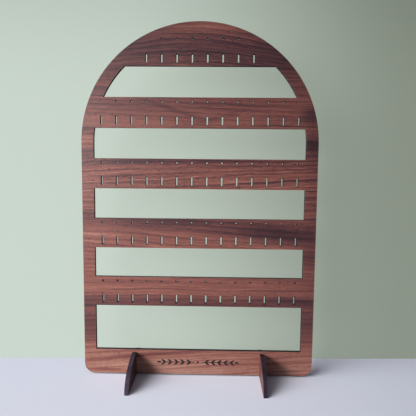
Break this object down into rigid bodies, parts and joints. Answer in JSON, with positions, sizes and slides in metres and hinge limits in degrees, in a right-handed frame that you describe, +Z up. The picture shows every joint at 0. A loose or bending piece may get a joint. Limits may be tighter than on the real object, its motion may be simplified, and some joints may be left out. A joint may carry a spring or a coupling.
{
  "type": "earring holder",
  "caption": "Arch-topped flat wooden earring stand with open windows, rows of post holes and hook slots, and half-oval feet that slot into its lower rail.",
  "frame": {"origin": "on the table, midway between the feet and halfway along them, 4 mm in front of the panel", "axes": "+X to the right across the panel, +Y from front to back, +Z up"},
  "size_m": [0.235, 0.082, 0.356],
  "materials": {
    "walnut_veneer": "open-grained walnut veneer, thin satin oil, grain across the panel, cut edges browned",
    "sheet_core": "fibreboard core whose cut edges are charred dark brown"
  },
  "bodies": {
    "left_foot": {"left_foot_core": "sheet_core", "left_foot_inner_veneer": "walnut_veneer", "left_foot_outer_veneer": "walnut_veneer"},
    "panel": {"panel_core": "sheet_core", "panel_front_veneer": "walnut_veneer", "panel_back_veneer": "walnut_veneer"},
    "right_foot": {"right_foot_core": "sheet_core", "right_foot_inner_veneer": "walnut_veneer", "right_foot_outer_veneer": "walnut_veneer"}
  },
  "joints": [
    {"name": "panel_lift", "type": "slide", "parent": "left_foot", "child": "panel", "axis": [0, 0, 1], "range_m": [0, 0.025]},
    {"name": "right_foot_pull", "type": "slide", "parent": "panel", "child": "right_foot", "axis": [0, 0, -1], "range_m": [0, 0.025]}
  ]
}
